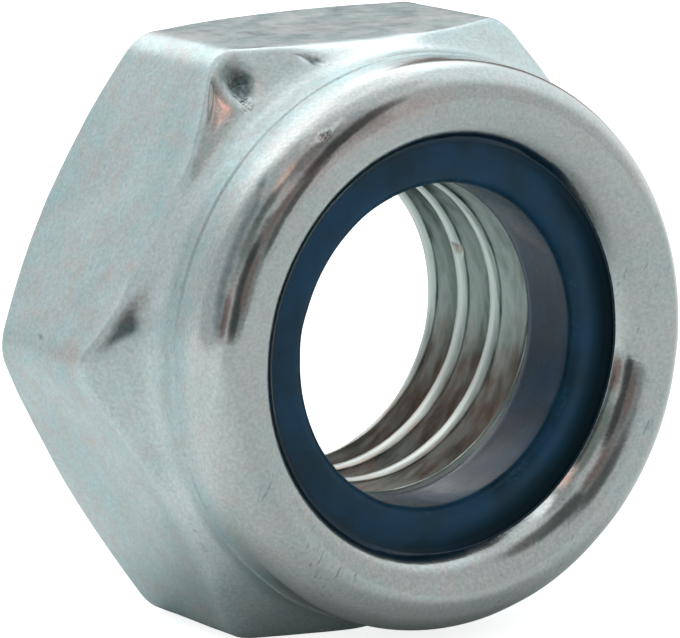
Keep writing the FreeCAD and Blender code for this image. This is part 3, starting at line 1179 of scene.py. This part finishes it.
@dataclass
class LockingRing:
    """The moulded ring that the lip traps over the thread.

    In millimetres, clear is the room left to the seat, pinch how far the lip
    pushed the ring's edge down, and sink how much further on its low side.
    """

    sizes: NutSizes = field(default_factory=NutSizes)
    columns: int = 288
    clear: float = 0.004
    pinch: float = 0.045
    sink: float = 0.05

    def profile(self) -> list[tuple[float, float, float]]:
        """Radius, height and bore share along the ring's section, as a closed run.

        The top bulges a little between the bore and the lip, where the
        closing rim pinched it, so a narrow dark gap runs round under the lip.

        Returns:
            The section's points, with lengths in millimetres.
        """
        s = self.sizes
        centre_r = s.ring_bore_r + s.ring_mouth
        centre_h = s.ring_top - s.ring_mouth
        low = s.seat_floor + self.clear
        run: list[tuple[float, float, float]] = []
        for r in (s.ring_bore_r + 0.03, 4.2, 4.8, s.seat_r - 0.03):
            run.append((r, low, 0.0))
        for height in (low + 0.03, 5.9, 6.6, s.seat_top - 0.04):
            run.append((s.seat_r - self.clear, height, 0.0))
        run.append((s.seat_r - 0.05, s.seat_top - self.clear, 0.0))
        run.append((s.lip_r + 0.20, s.lip_edge - 0.045, 0.0))
        run.append((s.lip_r + 0.04, s.lip_edge - 0.085, 0.0))
        outer_r = s.lip_r - 0.01
        for t in np.linspace(0.0, 1.0, 11):
            fall = 0.5 + 0.5 * math.cos(math.pi * t)
            run.append((outer_r + (centre_r + 0.02 - outer_r) * t,
                        s.ring_top - self.pinch * fall, 0.0))
        for t in np.linspace(math.pi / 2.0, math.pi, 13)[1:]:
            share = smooth_step(0.5, 0.95, np.array((t * 2.0 / math.pi) - 1.0))
            run.append((centre_r + s.ring_mouth * math.cos(t),
                        centre_h + s.ring_mouth * math.sin(t), float(share)))
        for t in np.linspace(0.0, 1.0, 9)[1:]:
            run.append((s.ring_bore_r, centre_h + (low + 0.04 - centre_h) * t, 1.0))
        return run

    def build(self) -> bpy.types.Object:
        """Make the ring's mesh, dress it and set it in the frame.

        Returns:
            The ring.
        """
        s = self.sizes
        low_side_deg, low_full, low_end = -25.0, math.radians(30.0), math.radians(95.0)
        centre_r = s.ring_bore_r + s.ring_mouth
        theta = np.linspace(0.0, 2.0 * math.pi, self.columns, endpoint=False)
        run = np.array(self.profile())
        radii = run[:, 0][:, None] + 0.0 * theta
        heights = run[:, 1][:, None] + 0.0 * theta
        points = s.place(theta[None, :], radii, heights)
        open_part = (run[:, 0] < s.lip_r) & (run[:, 1] > s.seat_floor + 0.1)
        push = 0.012 * waves(points, 1.6, 21) * open_part[:, None]
        points = points + grid_normals(points) * np.minimum(push, 0.0)[..., None]
        away = np.abs(np.mod(theta - math.radians(low_side_deg) + math.pi, 2.0 * math.pi) - math.pi)
        low_side = smooth_step(low_end, low_full, away)[None, :]
        top = (run[:, 1] > s.seat_top - 0.25) & (run[:, 0] > centre_r) & (run[:, 0] < s.lip_r + 0.3)
        top = top[:, None]
        near_lip = top * smooth_step(centre_r, s.lip_r, radii)
        points[..., 1] += self.sink * low_side * near_lip
        # Painted shade under the lip, widest and darkest on the low side
        gap = top * smooth_step(s.lip_r - 0.10 - 0.55 * low_side,
                                s.lip_r + 0.04 - 0.04 * low_side, radii)
        gap = gap * (0.35 + 0.65 * low_side)
        mouth = np.exp(-((radii - s.ring_bore_r - 0.10) / 0.13) ** 2)
        scuff = mouth * (0.30 + 0.16 * waves(points, 1.1, 22))
        scuff = scuff * open_part[:, None] * (1.0 - gap)
        grid = GridMesh("locking_ring")
        grid.add(points, bore=run[:, 2][:, None], scuff=scuff, gap=gap)
        obj = grid.build()
        obj.data.materials.append(MouldedPolyamide().build())
        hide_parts(Node.RING.value)
        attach(obj, "root")
        return obj


@dataclass(frozen=True)
class SkyPatch:
    """A soft round patch of the studio's surroundings.

    The direction is an azimuth from the viewer's side toward the right, and an
    elevation, both in degrees. The patch fades between its two half-angles.
    """

    azimuth: float
    elevation: float
    inner: float
    outer: float
    level: float
    tint: str = "#FFFFFF"

    def direction(self) -> tuple[float, float, float]:
        """Unit vector toward the patch."""
        a, e = math.radians(self.azimuth), math.radians(self.elevation)
        return math.sin(a) * math.cos(e), -math.cos(a) * math.cos(e), math.sin(e)


@dataclass
class Studio:
    """Floor, soft surroundings and the camera at the photograph's angle.

    The surroundings run from pale grey in front to white behind, with soft
    lights and dark cards over them. A later patch lies over an earlier one.
    """

    sizes: NutSizes = field(default_factory=NutSizes)
    azimuth: float = -33.69
    elevation: float = 11.62
    roll: float = -1.26
    distance_mm: float = 122.0
    focal_px: float = 5559.0
    frame_px: float = 680.0
    fit_height: float = 4.0
    offset_px: tuple[float, float] = (22.2, 5.9)
    front_level: float = 0.64
    back_level: float = 1.05
    patches: tuple[SkyPatch, ...] = (
        # Broad soft lights behind and above, and the dim wall low behind that the top flat shows
        SkyPatch(125.0, 48.0, 16.0, 50.0, 1.25, "#F8FDFF"),
        SkyPatch(163.0, 40.0, 13.0, 36.0, 2.25, "#FAFDFF"),
        SkyPatch(-172.0, 55.0, 14.0, 40.0, 1.35),
        SkyPatch(-178.0, 38.0, 4.0, 18.0, 1.75),
        SkyPatch(146.0, 4.0, 9.0, 23.0, 0.24, "#FFE0DA"),
        # Left and above: the flats' light, and the ceiling over the rim
        SkyPatch(-115.0, 22.0, 20.0, 45.0, 0.62, "#F6FCFF"),
        SkyPatch(-112.0, 70.0, 8.0, 28.0, 0.92),
        SkyPatch(5.0, 86.0, 10.0, 26.0, 0.92),
        SkyPatch(70.0, 72.0, 3.0, 12.0, 0.80),
        # Dark cards on the viewer's side, which the rim shows as its dark streaks
        SkyPatch(-44.0, 64.0, 6.0, 15.0, 0.46),
        SkyPatch(-34.0, 12.0, 14.0, 32.0, 0.34),
        SkyPatch(-70.0, 34.0, 5.0, 15.0, 0.27, "#F2FFF8"),
        SkyPatch(-67.0, 48.0, 4.0, 12.0, 0.26, "#F2FFF8"),
        SkyPatch(-73.0, 12.0, 3.0, 11.0, 0.34, "#FFD6D2"),
        SkyPatch(-50.0, 9.0, 5.0, 14.0, 0.08),
        SkyPatch(-48.0, 25.0, 5.0, 14.0, 0.08),
        SkyPatch(-33.0, 13.0, 3.0, 11.0, 0.25, "#FFE2DC"),
        SkyPatch(-27.0, 33.0, 3.0, 12.0, 0.26, "#FFE4DC"),
        SkyPatch(-6.0, 22.0, 6.0, 17.0, 0.14),
        SkyPatch(-3.0, 45.0, 8.0, 18.0, 0.13),
        SkyPatch(16.0, 54.0, 3.0, 14.0, 0.20),
        # Two small bright openings, which the rim shows as short highlights
        SkyPatch(-73.0, 61.0, 3.0, 9.0, 1.35, "#FFDDD2"),
        SkyPatch(-56.0, 78.0, 3.0, 9.0, 1.5),
    )

    def surroundings(self) -> bpy.types.World:
        """World whose soft patches light the nut and show in its plating.

        Camera rays see plain white. Every other ray sees the pale studio with
        its soft lights and dark cards, which is what the plating mirrors.

        Returns:
            The world.
        """
        world = bpy.data.worlds.new("soft_studio")
        world.use_nodes = True
        tree = world.node_tree
        tree.nodes.clear()
        toward = add_node(tree, "ShaderNodeTexCoord").outputs["Generated"]
        split = add_node(tree, "ShaderNodeSeparateXYZ", {}, {0: toward})
        back = add_node(tree, "ShaderNodeMapRange",
                        {"From Min": -0.6, "From Max": 0.7, "To Min": self.front_level,
                         "To Max": self.back_level, "interpolation_type": "SMOOTHSTEP"},
                        {"Value": split.outputs["Y"]})
        colour = add_node(tree, "ShaderNodeCombineColor", {},
                          {channel: back.outputs[0] for channel in range(3)}).outputs[0]
        for patch in self.patches:
            near = add_node(tree, "ShaderNodeVectorMath",
                            {"operation": "DOT_PRODUCT", 1: patch.direction()}, {0: toward})
            share = add_node(tree, "ShaderNodeMapRange",
                             {"From Min": math.cos(math.radians(patch.outer)),
                              "From Max": math.cos(math.radians(patch.inner)),
                              "interpolation_type": "SMOOTHSTEP"}, {"Value": near.outputs["Value"]})
            shade = tuple(patch.level * c for c in linear(patch.tint)[:3]) + (1.0,)
            colour = add_node(tree, "ShaderNodeMix", {"data_type": "RGBA", 7: shade},
                              {0: share.outputs[0], 6: colour}).outputs[2]
        soft = add_node(tree, "ShaderNodeBackground", {"Strength": 1.0}, {"Color": colour})
        white = add_node(tree, "ShaderNodeBackground",
                         {"Color": (1.0, 1.0, 1.0, 1.0), "Strength": 1.0})
        path = add_node(tree, "ShaderNodeLightPath")
        mix = add_node(tree, "ShaderNodeMixShader", {},
                       {0: path.outputs["Is Camera Ray"], 1: soft.outputs[0], 2: white.outputs[0]})
        add_node(tree, "ShaderNodeOutputWorld", {}, {"Surface": mix.outputs[0]})
        bpy.context.scene.world = world
        return world

    def floor(self) -> bpy.types.Object:
        """Matt white paper that keeps the nut's soft contact shadow.

        The camera sees it almost white. For glossy rays it glows, a painted
        glow that is dimmed under the nut as a painted contact shadow and is paler
        away from it, behind most of all.

        Returns:
            The floor.
        """
        reach = 1500.0 * MM
        camera_level, under_level, front_floor, back_floor = 0.82, 0.02, 0.07, 0.33
        corners = [(-reach, -reach, 0.0), (reach, -reach, 0.0), (reach, reach, 0.0),
                   (-reach, reach, 0.0)]
        mesh = bpy.data.meshes.new("floor")
        mesh.from_pydata(corners, [], [(0, 1, 2, 3)])
        floor = bpy.data.objects.new("floor", mesh)
        bpy.context.scene.collection.objects.link(floor)
        material = blank_material("matt_white_paper")
        tree = material.node_tree
        place = add_node(tree, "ShaderNodeTexCoord").outputs["Object"]
        away = add_node(tree, "ShaderNodeVectorMath",
                        {"operation": "DISTANCE", 1: (1.5 * MM, 0.0, 0.0)}, {0: place})
        paper = add_node(tree, "ShaderNodeBsdfDiffuse", {"Color": linear("#DDE0E0")})
        path = add_node(tree, "ShaderNodeLightPath")
        aside = add_node(tree, "ShaderNodeVectorMath",
                         {"operation": "DOT_PRODUCT", 1: (-0.35, 1.0, 0.0)}, {0: place})
        front = add_node(tree, "ShaderNodeMapRange",
                         {"From Min": -14.0 * MM, "From Max": 6.0 * MM,
                          "To Min": front_floor, "To Max": back_floor},
                         {"Value": aside.outputs["Value"]})
        # Painted glow for glossy rays, dimmed near the nut as a painted contact shadow
        seen = add_node(tree, "ShaderNodeMapRange",
                        {"From Min": 5.0 * MM, "From Max": 10.0 * MM, "To Min": under_level,
                         "interpolation_type": "SMOOTHSTEP"},
                        {"Value": away.outputs["Value"], "To Max": front.outputs[0]})
        lift = add_node(tree, "ShaderNodeMath", {"operation": "MULTIPLY"},
                        {0: path.outputs["Is Glossy Ray"], 1: seen.outputs[0]})
        level = add_node(tree, "ShaderNodeMath", {"operation": "MULTIPLY_ADD", 1: camera_level},
                         {0: path.outputs["Is Camera Ray"], 2: lift.outputs[0]})
        glow = add_node(tree, "ShaderNodeEmission", {"Color": (1.0, 1.0, 1.0, 1.0)},
                        {"Strength": level.outputs[0]})
        both = add_node(tree, "ShaderNodeAddShader", {}, {0: paper.outputs[0], 1: glow.outputs[0]})
        add_node(tree, "ShaderNodeOutputMaterial", {}, {"Surface": both.outputs[0]})
        floor.data.materials.append(material)
        return floor

    def camera(self) -> bpy.types.Object:
        """Camera at the photograph's angle, distance and framing.

        Returns:
            The camera, set as the scene's own.
        """
        a, e, roll = (math.radians(v) for v in (self.azimuth, self.elevation, self.roll))
        back = Vector((math.sin(a) * math.cos(e), -math.cos(a) * math.cos(e), math.sin(e)))
        right = Vector((math.cos(a), math.sin(a), 0.0))
        up = back.cross(right)
        turned_right = right * math.cos(roll) + up * math.sin(roll)
        turned_up = up * math.cos(roll) - right * math.sin(roll)
        step = self.distance_mm / self.focal_px
        centre = Vector((0.0, self.sizes.height / 2.0 - self.fit_height,
                         self.sizes.across_flats / 2.0))
        spot = centre + back * self.distance_mm
        spot += turned_up * self.offset_px[1] * step - turned_right * self.offset_px[0] * step
        data = bpy.data.cameras.new("photo_camera")
        data.sensor_width = 36.0
        data.lens = self.focal_px * data.sensor_width / self.frame_px
        data.clip_start, data.clip_end = 0.002, 10.0
        camera = bpy.data.objects.new("photo_camera", data)
        camera.matrix_world = Matrix((
            (turned_right.x, turned_up.x, back.x, spot.x * MM),
            (turned_right.y, turned_up.y, back.y, spot.y * MM),
            (turned_right.z, turned_up.z, back.z, spot.z * MM),
            (0.0, 0.0, 0.0, 1.0)))
        bpy.context.scene.collection.objects.link(camera)
        bpy.context.scene.camera = camera
        return camera

    def build(self) -> None:
        """Set up the floor, the surroundings and the camera."""
        bpy.context.scene.view_settings.view_transform = "Standard"
        self.surroundings()
        self.floor()
        self.camera()


SURFACE_MARKS: tuple[Wear, ...] = (
    # The blow on the upper left corner: its fresh rosy facet, the dark dent and a bright chip
    Facet(((124.3, 4.48), (126.4, 5.12), (132.2, 5.04)), soft=0.14, lean=0.19, blush=0.50,
          polish=0.9),
    Mark(121.4, 6.83, 4.83, 0.52, depth=0.10, rugged=0.10, crumple=0.2, stain=0.75, polish=0.5,
         stretch=(0.8, 1.0, 1.0)),
    Mark(123.4, 6.60, 5.10, 0.22, rugged=0.07, crumple=0.8, polish=1.0),
    # A small dark nick on the shoulder, and a shallow wedge at the left corner darkened as a
    # painted dark reflection
    Mark(107.0, 6.49, 5.20, 0.20, depth=0.03, rugged=0.04, crumple=0.3, stain=0.6),
    Facet(((166.8, 5.02), (171.9, 5.17), (176.6, 4.52)), soft=0.22, lean=0.03, rugged=0.01,
          stain=0.80),
    # Pits, a rosy rub and a chip on the rim, and a painted rosy reflection by the lip at the lower
    # right
    Mark(176.6, 7.27, 2.44, 0.12, depth=0.02, stain=0.6),
    Mark(-141.5, 6.44, 5.26, 0.12, depth=0.02, stain=0.6),
    Mark(178.0, 7.32, 3.60, 0.34, blush=0.22, stretch=(1.0, 2.6, 1.0)),
    Mark(122.6, 6.02, 7.53, 0.14, rugged=0.04, crumple=0.8, polish=0.8),
    Mark(-47.0, 4.55, 7.37, 0.18, blush=0.30),
    # Painted dark and rosy reflections, laid as streaks round the rim
    Streak(((136.0, 6.19, 7.12), (142.1, 6.12, 7.36), (148.0, 6.13, 7.35), (158.6, 6.12, 7.36),
            (170.3, 6.05, 7.49)), 0.24, stain=0.50, fade_deg=2.0),
    Streak(((124.0, 6.12, 7.40), (137.0, 6.12, 7.38), (148.0, 6.10, 7.42)),
           0.52, stain=0.38, fade_deg=6.0),
    Streak(((108.0, 5.78, 7.82), (118.4, 5.88, 7.72), (127.0, 5.98, 7.62), (136.0, 6.05, 7.50)),
           0.60, stain=0.46, fade_deg=6.0),
    Streak(((96.0, 5.55, 7.86), (110.0, 5.60, 7.85), (126.0, 5.75, 7.80), (140.0, 5.86, 7.72)),
           0.48, blush=0.26, fade_deg=9.0),
    # Painted shade under the lip at the lower right, and a scored line beside the fine step,
    # darkened with painted shade in its groove
    Streak(((-44.0, 4.50, 7.31), (-28.0, 4.50, 7.31), (-14.0, 4.52, 7.35)), 0.09, stain=0.7),
    Streak(((134.0, 6.30, 5.98), (144.0, 6.30, 5.98)), 0.05, depth=0.02, stain=0.35),
)


def main() -> None:
    """Build the pieces in order and report each one."""
    logging.basicConfig(level=logging.INFO, format="%(name)s: %(message)s")
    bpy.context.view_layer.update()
    for piece in (NutBody(marks=SURFACE_MARKS).build(), LockingRing().build()):
        log.info("%s: %d faces", piece.name, len(piece.data.polygons))
    Studio().build()


if __name__ == "__main__":
    main()
